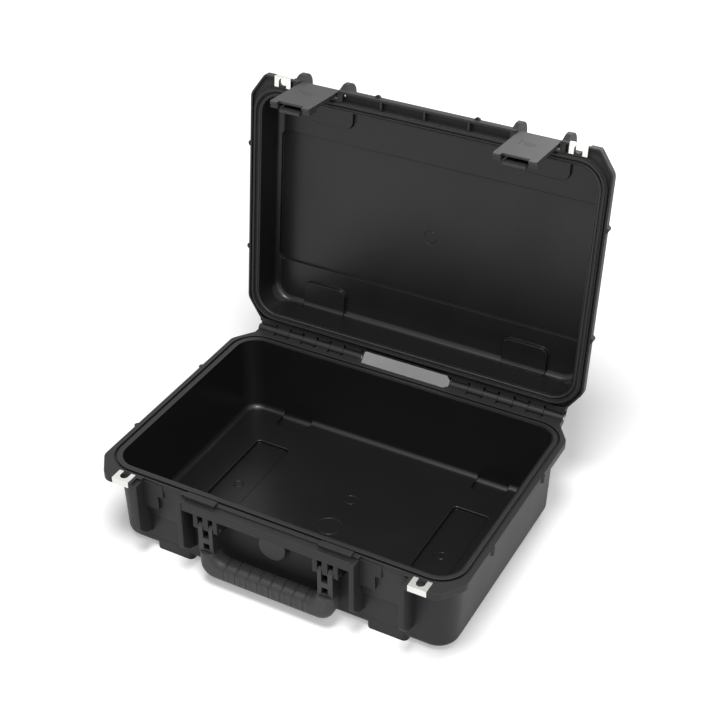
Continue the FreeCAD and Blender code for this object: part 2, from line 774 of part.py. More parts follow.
def lid_shell():
    """Upper shell, drawn shut, with everything that is moulded on it."""
    body = shell_block(wall, lid_shelf_depth + wall, base_inside_depth, lid_rim_z, True, outer_edge_radius)
    band_x = half_x - draft_at(lid_inside_depth, base_inside_depth) - inner_edge_radius / 2
    shelf_z = lid_ceiling_z - lid_band_step
    band = slab(-band_x - wall, band_x + wall, -lid_band_half_depth - wall, lid_band_half_depth + wall,
                outer_edge_radius, shelf_z, lid_top_z)
    band_hollow = slab(-band_x, band_x, -lid_band_half_depth, lid_band_half_depth, inner_edge_radius,
                       lid_rim_z + wall, lid_ceiling_z)
    flange = flange_plate(lid_front_y, lid_rim_z, lid_rim_z + flange_thickness)
    below = lid_rim_z - cut_overrun
    above = lid_rim_z + flange_thickness + cut_overrun
    cuts = [box(*span(side, bay_start, bay_end), -opening_depth, bay_front_y, below, above)
            for _, side in SIDES]
    flange = flange.cut(cuts + front_pockets() + lid_ear_cuts() + [lip_recess()])
    moulded = [lid_fin(*limits) for _, side in SIDES for limits in fin_spans(side)]
    moulded += [nub(side * opening_width * lid_nub_share, lid_front_y + nub_radius - nub_proud,
                    lid_rim_z + pocket_depth, lid_rim_z + flange_thickness) for _, side in SIDES]
    moulded += hinge_half(1, lid_rim_z, 1)
    body = body.fuse([flange, band] + moulded)
    mouth = slab(-half_x, half_x, -half_y, half_y, opening_corner, below, lid_rim_z)
    body = body.cut([lid_hollow(), mouth]).cut(band_hollow)
    hollows = [slab(x0 + wall, x1 - wall, y0 + wall, y1 - wall, lid_pad_radius - wall,
                    shelf_z + wall - lid_pad_depth, lid_top_z) for x0, x1, y0, y1 in lid_pad_limits()]
    skirt = ring(tongue_width + skirt_clearance, tongue_width + groove_width - skirt_clearance,
                 rim_z - skirt_reach, lid_rim_z + wall / 2)
    body = body.cut(hollows).fuse(skirt)
    seat = ring(seal_inset, seal_inset + seal_width, below, lid_rim_z + seal_seat)
    latch_bores = [rod(*span(side, fin_inner_place - cut_overrun, bay_end + fin_thickness + cut_overrun),
                       latch_y, latch_z, latch_pin_radius + pin_clearance) for _, side in SIDES]
    mark = mould_ring(0, opening_depth * lid_ring_share, lid_ceiling_z, lid_ring_radius)
    body = body.cut([seat, mark] + hinge_bores() + latch_bores)
    body = body.cut(padlock_cuts(lid_rim_z, lid_rim_z + flange_thickness, lid_rim_z, 1))
    return swing_open(body.removeSplitter())


def lid_gasket():
    """Seal ring pressed into the lid's rim, just proud of it."""
    inset = seal_inset + seal_side_clearance
    outset = seal_inset + seal_width - seal_side_clearance
    return swing_open(ring(inset, outset, lid_rim_z - seal_proud, lid_rim_z + seal_seat))


def place_latch(shape, side):
    """Carry a piece drawn on a shut, upright latch to its rest on the open lid."""
    turned = shape.rotated(ORIGIN, X_AXIS, latch_tilt - latch_rest_turn)
    return swing_open(turned.translated(Vec(side * bay_middle, latch_y, latch_z)))


def latch_marks(face):
    """Tools for the thumb mark in the latch's outer face, deepest at its lower edge, and a groove by it."""
    disc = Part.makeCylinder(latch_mark_radius, cut_overrun,
                             Vec(0, face - cut_overrun, -latch_mark_drop), Y_AXIS)
    disc = disc.rotated(Vec(0, face, latch_mark_radius / 2 - latch_mark_drop), X_AXIS, latch_mark_lean)
    groove = box(-latch_groove_place - latch_groove_width / 2, latch_groove_width / 2 - latch_groove_place,
                 face - cut_overrun, face + latch_groove_depth, -latch_groove_end, -latch_groove_start)
    return [disc, groove]


def latch():
    """Latch plate with its barrel, side walls, end blocks and the two ribs of the trigger pin."""
    half = bay_width / 2 - latch_clearance
    face = -latch_barrel_radius
    end_top = -hook_drop() - trigger_hook_height - latch_end_gap
    plate = box(-half, half, face, face + latch_plate, -latch_length, 0)
    plate = fillet(plate, latch_corner, lambda edge, middle: along(edge, Y_AXIS)
                   and near(middle.z, -latch_length))
    plate = plate.cut(box(-trigger_hook_left - latch_clearance, trigger_span - trigger_rib_thickness,
                          face + latch_plate - latch_pocket, face + latch_plate + cut_overrun,
                          -latch_length - cut_overrun, spring_coil_radius + spring_leg - trigger_pin_drop))
    pieces = [rod(-half, half, 0, 0, latch_barrel_radius)]
    for side in (-1, 1):
        x0, x1 = span(side, half - latch_side_thickness, half)
        pieces.append(box(x0, x1, face + latch_plate / 2, face + latch_side_depth,
                          latch_corner - latch_length, -latch_side_top))
        x0, x1 = span(side, half - latch_end_width, half)
        pieces.append(box(x0, x1, face + latch_plate / 2, face + latch_end_depth,
                          latch_corner - latch_length, end_top))
    pin_z = -trigger_pin_drop
    for x0 in (0, trigger_span - trigger_rib_thickness):
        pieces.append(box(x0, x0 + trigger_rib_thickness, face + latch_plate / 2,
                          face + latch_barrel_radius + trigger_pin_inset + trigger_barrel_radius,
                          pin_z - trigger_barrel_radius, pin_z + trigger_barrel_radius))
    body = plate.fuse(pieces)
    notch_half = half - latch_end_width
    cuts = [rod(-half - cut_overrun, half + cut_overrun, 0, 0, latch_pin_radius + pin_clearance),
            rod(-cut_overrun, trigger_span + cut_overrun, trigger_pin_inset, -trigger_pin_drop,
                trigger_pin_radius + pin_clearance),
            box(-notch_half, notch_half, face - cut_overrun, face + latch_plate + cut_overrun,
                -latch_length - cut_overrun, latch_notch_depth - latch_length)]
    return body.cut(cuts + latch_marks(face)).removeSplitter()


def lever_point(drop):
    """Middle of the trigger's web at a depth below the latch's pivot; it leans further below the hook."""
    upper = min(drop, hook_drop()) - trigger_pin_drop
    lower = max(drop - hook_drop(), 0)
    return (trigger_pin_inset + math.tan(math.radians(trigger_lean)) * upper
            + math.tan(math.radians(trigger_lip_lean)) * lower)


def hook_drop():
    """Depth of the hooking edge, so that it sits just under the keeper when lid and latch are shut."""
    tilt = math.radians(latch_tilt)
    inner_face = trigger_pin_inset + trigger_web
    below_pivot = latch_z - rim_z + keeper_drop + trigger_hook_clearance
    return (below_pivot + inner_face * math.sin(tilt)) / math.cos(tilt)


def sloped_web(x0, x1, top, bottom, thickness):
    """Piece of the trigger's web between two depths."""
    reach = thickness / 2
    outline = ((lever_point(top) - reach, -top), (lever_point(top) + reach, -top),
               (lever_point(bottom) + reach, -bottom), (lever_point(bottom) - reach, -bottom))
    return side_prism(outline, x0, x1)


def trigger():
    """Release lever: two barrels on its pin, a sloped web, the hooking edge and the finger lip."""
    hook = hook_drop()
    end = latch_length - trigger_end_gap
    first = trigger_rib_thickness + trigger_barrel_clearance
    last = trigger_span - trigger_rib_thickness - trigger_barrel_clearance
    half = trigger_lip_half_width
    pieces = [sloped_web(first, last, trigger_pin_drop, hook, trigger_web),
              sloped_web(-trigger_hook_left, last, hook, hook + trigger_hook_height, trigger_web),
              sloped_web(-half, half, hook, end, trigger_web),
              sloped_web(-half, half, end - trigger_lip_height, end, trigger_lip_depth)]
    barrels = [rod(first, first + trigger_barrel_length, trigger_pin_inset, -trigger_pin_drop,
                   trigger_barrel_radius),
               rod(last - trigger_barrel_length, last, trigger_pin_inset, -trigger_pin_drop,
                   trigger_barrel_radius)]
    lever = pieces[0].fuse(pieces[1:] + barrels)
    bore = rod(0, trigger_span, trigger_pin_inset, -trigger_pin_drop, trigger_pin_radius + pin_clearance)
    coil_room = rod(first + trigger_barrel_length, last - trigger_barrel_length, trigger_pin_inset,
                    -trigger_pin_drop, spring_coil_radius + 2 * spring_wire_radius)
    return lever.cut([bore, coil_room]).removeSplitter()


def trigger_spring():
    """Torsion spring round the trigger pin: one leg up the latch plate, the other down behind the lever."""
    first = trigger_rib_thickness + trigger_barrel_clearance + trigger_barrel_length + 2 * spring_wire_radius
    length = trigger_span - 2 * first
    steps = spring_turns * spring_steps
    turn = 2 * math.pi / spring_steps
    route = []
    for index in range(steps + 1):
        route.append(Vec(first + length * index / steps,
                         trigger_pin_inset - spring_coil_radius * math.cos(turn * index),
                         -trigger_pin_drop - spring_coil_radius * math.sin(turn * index)))
    route = [route[0] + Z_AXIS * spring_leg] + route + [route[-1] - Z_AXIS * spring_leg]
    angles = [2 * math.pi * corner / spring_wire_sides for corner in range(spring_wire_sides)]
    corners = [route[0] + Vec(math.cos(angle), math.sin(angle), 0) * spring_wire_radius for angle in angles]
    section = Part.makePolygon(corners + corners[:1])
    return Part.makePolygon(route).makePipeShell([section], True, False, 1)


def handle_rails(side):
    """X limits of the two rails of one handle arm."""
    first, second, third = prong_spans(side)
    gap = handle_side_clearance
    if side > 0:
        return (first[1] + gap, second[0] - gap), (second[1] + gap, third[0] - gap)
    return (second[1] + gap, first[0] - gap), (third[1] + gap, second[0] - gap)


def handle_loop(inset, depth, top):
    """The handle's bar and the lower ends of its arms, up to a height, less an inset all round."""
    outer_x = handle_rails(1)[1][1] - inset
    inner_x = handle_rails(1)[0][0] + inset
    low = handle_low_z + inset
    sill = handle_low_z + grip_height - inset
    loop = box(-outer_x, outer_x, handle_y - depth / 2, handle_y + depth / 2, low, top)
    loop = fillet(loop, handle_corner - inset, lambda edge, middle: along(edge, Y_AXIS)
                  and near(middle.z, low))
    window = box(-inner_x, inner_x, handle_y - depth, handle_y + depth, sill, top + handle_inner_corner)
    window = fillet(window, handle_inner_corner + inset, lambda edge, middle: along(edge, Y_AXIS)
                    and near(middle.z, sill))
    return loop.cut(window)


def grip_core(top):
    """What the grip is moulded over."""
    return handle_loop(grip_cover, grip_core_depth, top)


def handle_frame():
    """Carrying handle: two ladder arms joined by the loop that the grip covers."""
    front = handle_y - arm_radius - cut_overrun
    back = handle_y + arm_radius + cut_overrun
    arms = handle_loop(0, 2 * arm_radius, handle_z)
    arms = arms.cut(box(-opening_width, opening_width, front, back, handle_low_z - cut_overrun, grip_top_z))
    pieces = [grip_core(grip_top_z + cut_overrun)]
    cuts = []
    for _, side in SIDES:
        rails = handle_rails(side)
        pieces += [rod(x0, x1, handle_y, handle_z, arm_radius) for x0, x1 in rails]
        slot = sorted((rails[0][0], rails[0][1], rails[1][0], rails[1][1]))[1:3]
        for top, bottom in ((-2 * arm_radius, rung_drop), (rung_drop + rung_height, ladder_drop)):
            cuts.append(box(*slot, front, back, handle_z - bottom, handle_z - top))
        cuts.append(rod(*span(side, prong_start, fin_inner_place), handle_y, handle_z,
                        handle_pin_radius + pin_clearance))
    return arms.fuse(pieces).cut(cuts).removeSplitter()


def handle_grip():
    """Soft sleeve over the handle's bar and corners, with shallow finger waves along its front."""
    front = handle_y - grip_depth / 2
    back = handle_y + grip_depth / 2
    sleeve = fillet(handle_loop(0, grip_depth, grip_top_z), grip_radius, lambda edge, middle: (
        near(middle.y, front) or near(middle.y, back)) and not near(middle.z, grip_top_z))
    waves = []
    for index in range(grip_wave_count):
        x = grip_wave_pitch * (index - (grip_wave_count - 1) / 2)
        waves.append(Part.makeCylinder(grip_wave_radius, grip_height, Vec(
            x, front - grip_wave_radius + grip_wave_depth, handle_low_z)))
    return sleeve.cut([grip_core(grip_top_z + cut_overrun)] + waves).removeSplitter()


def valve_parts():
    """Cap with its shank, seal, membrane and inner nut, on the flat pads of the front wall."""
    cap_back = valve_seat_y - valve_seal_thickness
    cap_front = cap_back - valve_cap_thickness
    nut_end = valve_inner_y + valve_nut_thickness

    def disc(radius, start, end):
        """Cylinder along Y on the valve's axis."""
        return Part.makeCylinder(radius, end - start, Vec(0, start, valve_z), Y_AXIS)

    cap = disc(valve_cap_radius, cap_front, cap_back)
    rim = [edge for edge in cap.Edges if near(edge.CenterOfMass.y, cap_front)]
    body = cap.makeChamfer(valve_cap_edge, rim).fuse(disc(valve_shank_radius, cap_back - valve_cap_thickness / 2, nut_end))
    body = body.cut([disc(valve_bore_radius, cap_back - valve_cap_thickness / 2, nut_end + cut_overrun),
                     disc(valve_membrane_radius, nut_end - valve_pocket_depth, nut_end + cut_overrun)])
    round_shank = disc(valve_shank_radius + valve_shank_clearance, cap_front, nut_end + cut_overrun)
    seal = disc(valve_shank_radius + valve_seal_width, cap_back, valve_seat_y).cut(round_shank)
    membrane = disc(valve_membrane_radius - valve_shank_clearance, nut_end - valve_pocket_depth,
                    nut_end - valve_pocket_depth + valve_membrane_thickness)
    nut = disc(valve_nut_radius, valve_inner_y, nut_end).cut(round_shank)
    return {"valve_body": body, "valve_seal": seal, "valve_membrane": membrane, "valve_nut": nut}


def sided_pieces():
    """The pieces that come as a left and a right one."""
    pieces = {}
    for name, side in SIDES:
        x0, x1 = span(side, hinge_group_start, hinge_group_end)
        pieces["hinge_pin_" + name] = rod(x0, x1, hinge_y, hinge_z, hinge_pin_radius)
        x0, x1 = span(side, fin_inner_place, bay_end + fin_thickness)
        pieces["latch_pin_" + name] = swing_open(rod(x0, x1, latch_y, latch_z, latch_pin_radius))
        pieces["latch_" + name] = place_latch(latch(), side)
        pieces["trigger_" + name] = place_latch(trigger(), side)
        pin = rod(0, trigger_span, trigger_pin_inset, -trigger_pin_drop, trigger_pin_radius)
        pieces["trigger_pin_" + name] = place_latch(pin, side)
        pieces["trigger_spring_" + name] = place_latch(trigger_spring(), side)
        ends = prong_spans(side)
        x0 = min(limits[0] for limits in ends)
        x1 = max(limits[1] for limits in ends)
        pieces["handle_pin_" + name] = rod(x0, x1, handle_y, handle_z, handle_pin_radius)
        pieces["padlock_plate_base_" + name] = padlock_plate(side, base_ear_y, rim_z, -1, base_fold_height)
        lid_plate = padlock_plate(side, lid_front_y, lid_rim_z, 1, lid_ear_thickness)
        pieces["padlock_plate_lid_" + name] = swing_open(lid_plate)
    return pieces


def build():
    """Make every piece and write it to its own file."""
    pieces = {"base_shell": base_shell(), "lid_shell": lid_shell(), "lid_gasket": lid_gasket(),
              "handle_frame": handle_frame(), "handle_grip": handle_grip()}
    pieces.update(sided_pieces())
    pieces.update(valve_parts())
    os.makedirs("parts", exist_ok=True)
    for name, shape in pieces.items():
        if not shape.isValid():
            print(name, "is not a valid solid")
        print(f"{name}: {len(shape.Solids)} solid, {shape.Volume:.0f} mm3")
        shape.exportStep(os.path.join("parts", name + ".step"))


build()
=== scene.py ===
"""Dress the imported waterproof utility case: finishes, rubber pieces, springs, light and camera."""
import json
import logging
import math
from dataclasses import dataclass
from enum import Enum
from typing import Any, Callable, Optional

import bpy
from mathutils import Euler, Matrix, Vector

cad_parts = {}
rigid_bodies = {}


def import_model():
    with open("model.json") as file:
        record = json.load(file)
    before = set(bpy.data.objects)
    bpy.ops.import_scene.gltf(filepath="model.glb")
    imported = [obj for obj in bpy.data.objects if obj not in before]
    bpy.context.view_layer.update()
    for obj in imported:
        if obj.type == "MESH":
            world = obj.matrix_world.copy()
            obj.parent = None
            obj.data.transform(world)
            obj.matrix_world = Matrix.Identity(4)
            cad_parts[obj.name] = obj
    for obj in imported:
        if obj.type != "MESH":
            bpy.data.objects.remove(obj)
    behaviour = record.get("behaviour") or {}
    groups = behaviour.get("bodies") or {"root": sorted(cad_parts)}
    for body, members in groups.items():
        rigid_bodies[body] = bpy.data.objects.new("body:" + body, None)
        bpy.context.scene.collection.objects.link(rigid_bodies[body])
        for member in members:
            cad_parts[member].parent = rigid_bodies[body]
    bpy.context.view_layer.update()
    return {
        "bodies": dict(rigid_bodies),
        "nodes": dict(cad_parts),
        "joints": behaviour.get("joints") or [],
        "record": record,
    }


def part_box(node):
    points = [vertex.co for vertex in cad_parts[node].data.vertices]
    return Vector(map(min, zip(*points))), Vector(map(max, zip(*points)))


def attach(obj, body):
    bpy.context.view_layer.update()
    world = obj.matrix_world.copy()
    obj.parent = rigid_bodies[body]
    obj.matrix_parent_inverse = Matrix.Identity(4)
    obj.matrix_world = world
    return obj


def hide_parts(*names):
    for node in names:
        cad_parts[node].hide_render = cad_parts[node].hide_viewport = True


LOG = logging.getLogger("utility_case")
MM = 0.001
IMAGE_PX = 720
# Points of a mesh that are nearer than this, in metres, are one point.
WELD = 1e-6
Colour = tuple[float, float, float, float]
Point = tuple[float, float, float]
WHITE: Colour = (1.0, 1.0, 1.0, 1.0)
# The sRGB standard's curve: a straight toe, then a power.
SRGB_TOE_END = 0.04045
SRGB_TOE_SLOPE = 12.92
SRGB_OFFSET = 0.055
SRGB_POWER = 2.4
# A Mix node's sockets by number, because its colour and number sockets share their names.
COLOUR_A, COLOUR_B, COLOUR_OUT = 6, 7, 2
NUMBER_A, NUMBER_B, NUMBER_OUT = 2, 3, 0


class Side(Enum):
    """The two hands of the case, seen from the front."""

    LEFT = "left"
    RIGHT = "right"


def linear(code: str) -> Colour:
    """Turn an sRGB hex colour into linear light.

    Args:
        code: six hex digits, with or without a leading hash.

    Returns:
        Red, green, blue and an alpha of one.
    """
    digits = code.lstrip("#")
    parts = [int(digits[i:i + 2], 16) / 255 for i in (0, 2, 4)]
    red, green, blue = (
        c / SRGB_TOE_SLOPE if c <= SRGB_TOE_END else ((c + SRGB_OFFSET) / (1 + SRGB_OFFSET)) ** SRGB_POWER
        for c in parts
    )
    return red, green, blue, 1.0


def add_node(
    tree: bpy.types.NodeTree,
    kind: str,
    values: Optional[dict[Any, Any]] = None,
    links: Optional[dict[Any, bpy.types.NodeSocket]] = None,
    **settings: Any,
) -> bpy.types.Node:
    """Add one node to a tree.

    Args:
        tree: the tree that takes the node.
        kind: Blender's name for the node's type.
        values: input name or number to the constant that it holds.
        links: input name or number to the output that feeds it.
        **settings: properties of the node itself.

    Returns:
        The new node.
    """
    node = tree.nodes.new(kind)
    for name, setting in settings.items():
        setattr(node, name, setting)
    for key, value in (values or {}).items():
        node.inputs[key].default_value = value
    for key, socket in (links or {}).items():
        tree.links.new(socket, node.inputs[key])
    return node


def blank_material(name: str) -> tuple[bpy.types.Material, bpy.types.NodeTree, bpy.types.Node]:
    """Start a material that holds one principled shader and its output.

    Args:
        name: the material's name.

    Returns:
        The material, its node tree and the shader.
    """
    material = bpy.data.materials.new(name)
    material.use_nodes = True
    tree = material.node_tree
    tree.nodes.clear()
    shader = add_node(tree, "ShaderNodeBsdfPrincipled")
    add_node(tree, "ShaderNodeOutputMaterial", links={"Surface": shader.outputs["BSDF"]})
    return material, tree, shader


@dataclass(frozen=True)
class SatinInside:
    """The finish that a shell's inside takes from a polished core: smooth, with little grain; its near black
    colour is painted shade on the outside's plastic.
    """

    # Painted shade: the inside is the outside's plastic, drawn darker.
    colour: str = "#19191A"
    roughness: float = 0.31
    shine: float = 0.42
    grain: float = 0.35


@dataclass(frozen=True)
class ShellInside:
    """Where a shell's inside is, as a rounded box in the shut case, sizes in millimetres."""

    depth: float
    rim_z: float
    floor_z: float
    half_x: float = 222.0
    half_y: float = 151.0
    corner: float = 28.0
    draft: float = 3.5
    any_height: float = 10000.0
    finish: SatinInside = SatinInside()

    def mask(
        self,
        tree: bpy.types.NodeTree,
        place: bpy.types.NodeSocket,
        unturn: Optional[Matrix],
    ) -> bpy.types.NodeSocket:
        """Build the mask that is one on the inside of the shell.

        Args:
            tree: the material's node tree.
            place: the surface point in metres, in the case as it rests.
            unturn: takes that point to the shut case, or none where the shell doesn't turn.

        Returns:
            The output that carries the mask.
        """
        if unturn is not None:
            place = add_node(tree, "ShaderNodeMapping", links={"Vector": place},
                             values={"Location": unturn.to_translation(),
                                     "Rotation": unturn.to_euler()}).outputs["Vector"]
        split = add_node(tree, "ShaderNodeSeparateXYZ", links={"Vector": place})
        opens_up = self.rim_z > self.floor_z
        lean = (1.0 if opens_up else -1.0) * self.draft / self.depth
        sunk = add_node(tree, "ShaderNodeMath", operation="MULTIPLY_ADD", links={0: split.outputs["Z"]},
                        values={1: -lean, 2: lean * self.rim_z * MM})
        straight = add_node(tree, "ShaderNodeVectorMath", operation="ABSOLUTE", links={0: place})
        core = ((self.half_x - self.corner) * MM, (self.half_y - self.corner) * MM, self.any_height * MM)
        past = add_node(tree, "ShaderNodeVectorMath", operation="SUBTRACT", values={1: core},
                        links={0: straight.outputs[0]})
        grown = add_node(tree, "ShaderNodeVectorMath", operation="ADD",
                         links={0: past.outputs[0], 1: sunk.outputs[0]})
        corner = add_node(tree, "ShaderNodeVectorMath", operation="MAXIMUM", links={0: grown.outputs[0]})
        away = add_node(tree, "ShaderNodeVectorMath", operation="LENGTH", links={0: corner.outputs[0]})
        within = add_node(tree, "ShaderNodeMath", operation="LESS_THAN", values={1: self.corner * MM},
                          links={0: away.outputs["Value"]})
        above = add_node(tree, "ShaderNodeMath", operation="GREATER_THAN" if opens_up else "LESS_THAN",
                         values={1: self.floor_z * MM}, links={0: split.outputs["Z"]})
        return add_node(tree, "ShaderNodeMath", operation="MULTIPLY",
                        links={0: within.outputs[0], 1: above.outputs[0]}).outputs[0]


@dataclass(frozen=True)
class MouldedPlastic:
    """Injection-moulded thermoplastic: a dark body colour under a thin eroded grain.

    Its shine is a reflectance, which is one half for a bare plastic. Edges are painted paler, a painted
    highlight, by how far the rounded normal turns from the flat one, and creases are darkened with painted
    shade, by how far they are shut in.
    """

    name: str
    colour: str
    # The paler edge colour is a painted highlight.
    edge_highlight_colour: str
    roughness: float
    grain_mm: float
    grain_depth_mm: float
    edge_mm: float
    shine: float = 0.5
    ior: float = 1.49
    grain_detail: float = 2.0
    grain_roughness: float = 0.6
    mottle: float = 0.06
    mottle_mm: float = 55.0
    mottle_detail: float = 3.0
    edge_samples: int = 6
    # Painted highlight: edges are drawn paler, more so the further their rounded normal turns from the flat
    # one.
    highlight_from: float = 0.97
    highlight_full: float = 0.80
    highlight_most: float = 0.75
    # Painted shade: the colour is darkened in creases, by how shut in they are.
    crease_mm: float = 7.0
    crease: float = 0.25
    crease_shut: float = 0.35
    crease_open: float = 0.95
    crease_samples: int = 6

    def painted_edge_highlight(self, tree: bpy.types.NodeTree, rounded: bpy.types.NodeSocket) -> bpy.types.NodeSocket:
        """Mix the body's colour with a paler one on its edges, which is a painted highlight.

        Args:
            tree: the material's node tree.
            rounded: the normal of the surface with its edges rounded.

        Returns:
            The output that carries the colour.
        """
        flat = add_node(tree, "ShaderNodeNewGeometry")
        turn = add_node(tree, "ShaderNodeVectorMath", operation="DOT_PRODUCT",
                        links={0: rounded, 1: flat.outputs["Normal"]})
        edge_light = add_node(tree, "ShaderNodeMapRange", links={"Value": turn.outputs["Value"]},
                       values={"From Min": self.highlight_from, "From Max": self.highlight_full,
                               "To Min": 0.0, "To Max": self.highlight_most})
        mix = add_node(tree, "ShaderNodeMix", data_type="RGBA", links={"Factor": edge_light.outputs["Result"]},
                       values={COLOUR_A: linear(self.colour), COLOUR_B: linear(self.edge_highlight_colour)})
        return mix.outputs[COLOUR_OUT]

    def painted_crease_shade(self, tree: bpy.types.NodeTree, colour: bpy.types.NodeSocket) -> bpy.types.NodeSocket:
        """Darken a colour in the creases with painted shade, where little light comes in.

        Args:
            tree: the material's node tree.
            colour: the output that carries the colour.

        Returns:
            The output that carries the dimmed colour.
        """
        near = add_node(tree, "ShaderNodeAmbientOcclusion", values={"Distance": self.crease_mm * MM},
                        samples=self.crease_samples)
        dim = add_node(tree, "ShaderNodeMapRange", links={"Value": near.outputs["AO"]},
                       values={"From Min": self.crease_shut, "From Max": self.crease_open,
                               "To Min": self.crease, "To Max": 1.0})
        mix = add_node(tree, "ShaderNodeMix", data_type="RGBA", blend_type="MULTIPLY",
                       values={"Factor": 1.0}, links={COLOUR_A: colour, COLOUR_B: dim.outputs["Result"]})
        return mix.outputs[COLOUR_OUT]

    def build(
        self,
        inside: Optional[ShellInside] = None,
        unturn: Optional[Matrix] = None,
    ) -> bpy.types.Material:
        """Make the material.

        Args:
            inside: where a shell's smoother inside is, or none for a piece with one finish.
            unturn: takes a point of the open case back to the shut one, or none where they are the same.

        Returns:
            The material.
        """
        material, tree, shader = blank_material(self.name)
        shader.inputs["IOR"].default_value = self.ior
        shader.inputs["Specular IOR Level"].default_value = self.shine
        place = add_node(tree, "ShaderNodeTexCoord").outputs["Object"]
        mottle = add_node(tree, "ShaderNodeTexNoise", links={"Vector": place},
                          values={"Scale": 1 / (self.mottle_mm * MM), "Detail": self.mottle_detail})
        grain = add_node(tree, "ShaderNodeTexNoise", links={"Vector": place},
                         values={"Scale": 1 / (self.grain_mm * MM), "Detail": self.grain_detail,
                                 "Roughness": self.grain_roughness})
        rough = add_node(tree, "ShaderNodeMapRange", links={"Value": mottle.outputs["Fac"]},
                         values={"To Min": self.roughness - self.mottle,
                                 "To Max": self.roughness + self.mottle})
        soft = add_node(tree, "ShaderNodeBevel", values={"Radius": self.edge_mm * MM},
                        samples=self.edge_samples)
        bump = add_node(tree, "ShaderNodeBump", values={"Distance": self.grain_depth_mm * MM},
                        links={"Height": grain.outputs["Fac"], "Normal": soft.outputs["Normal"]})
        colour, gloss = self.painted_edge_highlight(tree, soft.outputs["Normal"]), rough.outputs["Result"]
        if inside is not None:
            finish = inside.finish
            mask = inside.mask(tree, place, unturn)
            # Painted shade: the inside's colour is darker than the outside's; its roughness, shine and grain
            # differ for real.
            dark = add_node(tree, "ShaderNodeMix", data_type="RGBA", links={"Factor": mask, COLOUR_A: colour},
                            values={COLOUR_B: linear(finish.colour)})
            satin = add_node(tree, "ShaderNodeMapRange", links={"Value": mottle.outputs["Fac"]},
                             values={"To Min": finish.roughness - self.mottle,
                                     "To Max": finish.roughness + self.mottle})
            mixed = add_node(tree, "ShaderNodeMix", data_type="FLOAT",
                             links={"Factor": mask, NUMBER_A: gloss, NUMBER_B: satin.outputs["Result"]})
            shine = add_node(tree, "ShaderNodeMapRange", links={"Value": mask},
                             values={"To Min": self.shine, "To Max": finish.shine})
            thin = add_node(tree, "ShaderNodeMapRange", links={"Value": mask},
                            values={"To Min": 1.0, "To Max": finish.grain})
            tree.links.new(shine.outputs["Result"], shader.inputs["Specular IOR Level"])
            tree.links.new(thin.outputs["Result"], bump.inputs["Strength"])
            colour, gloss = dark.outputs[COLOUR_OUT], mixed.outputs[NUMBER_OUT]
        # The base colour takes painted shade in its creases.
        tree.links.new(self.painted_crease_shade(tree, colour), shader.inputs["Base Color"])
        tree.links.new(gloss, shader.inputs["Roughness"])
        tree.links.new(bump.outputs["Normal"], shader.inputs["Normal"])
        return material


@dataclass(frozen=True)
class BrightSteel:
    """Bare stainless or carbon steel: a pale metal with fine lines along its working direction."""

    name: str
    colour: str
    roughness: float
    line_mm: float
    stretch: Point
    spread: float = 0.3
    line_detail: float = 3.0
    line_depth_mm: float = 0.02
    line_strength: float = 0.5
    edge_mm: float = 0.3
    edge_samples: int = 4

    def build(self) -> bpy.types.Material:
        """Make the material, with lines that run along its stretched direction.

        Returns:
            The material.
        """
        material, tree, shader = blank_material(self.name)
        shader.inputs["Metallic"].default_value = 1.0
        shader.inputs["Base Color"].default_value = linear(self.colour)
        place = add_node(tree, "ShaderNodeTexCoord").outputs["Object"]
        drawn = add_node(tree, "ShaderNodeMapping", links={"Vector": place}, values={"Scale": self.stretch})
        lines = add_node(tree, "ShaderNodeTexNoise", links={"Vector": drawn.outputs["Vector"]},
                         values={"Scale": 1 / (self.line_mm * MM), "Detail": self.line_detail})
        rough = add_node(tree, "ShaderNodeMapRange", links={"Value": lines.outputs["Fac"]},
                         values={"To Min": self.roughness * (1 - self.spread),
                                 "To Max": self.roughness * (1 + self.spread)})
        soft = add_node(tree, "ShaderNodeBevel", values={"Radius": self.edge_mm * MM},
                        samples=self.edge_samples)
        bump = add_node(tree, "ShaderNodeBump",
                        values={"Distance": self.line_depth_mm * MM, "Strength": self.line_strength},
                        links={"Height": lines.outputs["Fac"], "Normal": soft.outputs["Normal"]})
        tree.links.new(rough.outputs["Result"], shader.inputs["Roughness"])
        tree.links.new(bump.outputs["Normal"], shader.inputs["Normal"])
        return material


